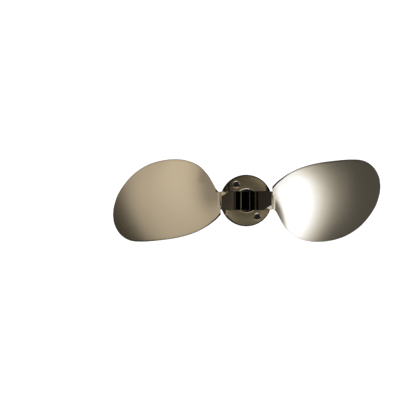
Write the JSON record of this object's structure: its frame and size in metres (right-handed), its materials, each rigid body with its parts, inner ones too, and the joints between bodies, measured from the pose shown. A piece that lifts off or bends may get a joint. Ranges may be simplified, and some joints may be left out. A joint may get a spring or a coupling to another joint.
{
  "type": "folding boat propeller",
  "caption": "Folding bronze boat propeller with geared blades pinned in a slotted hub, shown open, with a splined drive and a forward anode ring.",
  "frame": {"origin": "centre of the flat forward face of the anode ring, on the shaft's axis, which is the face the propeller stands on", "axes": "+Z aft along the shaft's axis, away from the boat's engine; +X along the open right blade, -X along the other; +Y up in the picture"},
  "size_m": [0.4064, 0.1274, 0.1072],
  "materials": {
    "bronze": "satin, machined and brushed nickel aluminium bronze",
    "blade_bronze": "satin, finely ground",
    "stainless_steel": "turned",
    "rubber": "matte",
    "anode_metal": "cast, dull"
  },
  "bodies": {
    "hub_group": {"hub": "bronze", "pivot_pin_right": "stainless_steel", "pivot_pin_left": "stainless_steel", "lock_screw_right": "stainless_steel", "lock_screw_left": "stainless_steel", "drive_sleeve": "bronze", "damper_ring": "rubber", "thrust_washer": "stainless_steel", "shaft_nut": "stainless_steel", "anode_half_right": "anode_metal", "anode_half_left": "anode_metal", "anode_screw_1": "stainless_steel", "anode_screw_2": "stainless_steel", "anode_screw_3": "stainless_steel", "anode_screw_4": "stainless_steel"},
    "blade_right_group": {"blade_right": "blade_bronze"},
    "blade_left_group": {"blade_left": "blade_bronze"}
  },
  "joints": [
    {"name": "fold_right", "type": "hinge", "parent": "hub_group", "child": "blade_right_group", "pos_m": [0.016, 0, 0.0785], "axis": [0, -1, 0], "range_deg": [0, 90]},
    {"name": "fold_left", "type": "hinge", "parent": "hub_group", "child": "blade_left_group", "pos_m": [-0.016, 0, 0.0785], "axis": [0, 1, 0], "range_deg": [0, 90]}
  ],
  "couplings": [
    {"joint": "fold_left", "follows": "fold_right", "ratio": 1}
  ]
}
